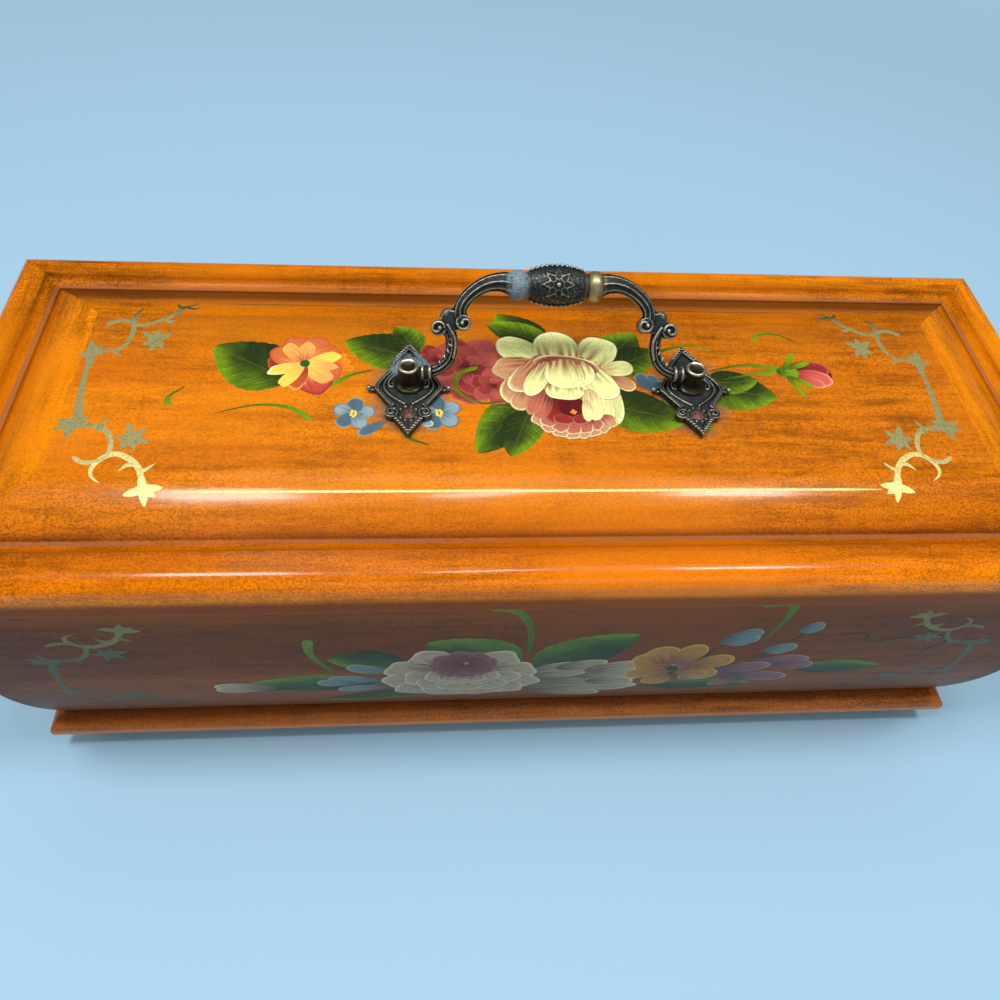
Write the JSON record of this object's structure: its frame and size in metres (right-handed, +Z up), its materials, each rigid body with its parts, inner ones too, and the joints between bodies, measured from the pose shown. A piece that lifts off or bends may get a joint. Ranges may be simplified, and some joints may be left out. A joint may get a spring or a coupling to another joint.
{
  "type": "painted wooden box",
  "caption": "Long lacquered wooden box with bellied sides on a moulded plinth, a hinged raised-panel lid with painted flowers, and a swinging cast bail handle.",
  "frame": {"origin": "on the table under the middle of the lid", "axes": "+Z up, +X along the front edge to the right, the front faces -Y"},
  "size_m": [0.355, 0.137, 0.1621],
  "materials": {
    "orange_lacquer": "glossy orange lacquer with brown antiquing glaze",
    "black_paint": "satin black paint",
    "antique_brass": "antiqued dark brass plating, rubbed bright on the high spots",
    "hinge_brass": "plain brass",
    "screw_steel": "zinc plated",
    "pin_iron": "rusted",
    "foot_rubber": "matt"
  },
  "bodies": {
    "case": {"wall_front": "orange_lacquer", "plinth_front": "orange_lacquer", "wall_back": "orange_lacquer", "plinth_back": "orange_lacquer", "wall_left": "orange_lacquer", "plinth_left": "orange_lacquer", "wall_right": "orange_lacquer", "plinth_right": "orange_lacquer", "floor_panel": "black_paint", "foot_front_left": "foot_rubber", "foot_front_right": "foot_rubber", "foot_back_left": "foot_rubber", "foot_back_right": "foot_rubber", "foot_screws": "screw_steel", "hinge_left_case_leaf": "hinge_brass", "hinge_left_pin": "hinge_brass", "hinge_right_case_leaf": "hinge_brass", "hinge_right_pin": "hinge_brass", "hinge_case_screws": "hinge_brass"},
    "lid": {"lid_rail_front": "orange_lacquer", "lid_rail_back": "orange_lacquer", "lid_rail_left": "orange_lacquer", "lid_rail_right": "orange_lacquer", "lid_panel": "orange_lacquer", "hinge_left_lid_leaf": "hinge_brass", "handle_plate_left": "antique_brass", "handle_post_left": "antique_brass", "hinge_right_lid_leaf": "hinge_brass", "handle_plate_right": "antique_brass", "handle_post_right": "antique_brass", "hinge_lid_screws": "hinge_brass", "handle_screws": "screw_steel", "plate_pins": "pin_iron"},
    "bail": {"bail_handle": "antique_brass"}
  },
  "joints": [
    {"name": "lid_hinge", "type": "hinge", "parent": "case", "child": "lid", "pos_m": [0, 0.0659, 0.1092], "axis": [-1, 0, 0], "range_deg": [0, 108]},
    {"name": "bail_swing", "type": "hinge", "parent": "lid", "child": "bail", "pos_m": [0.005, 0, 0.13673], "axis": [1, 0, 0], "range_deg": [0, 84]}
  ]
}
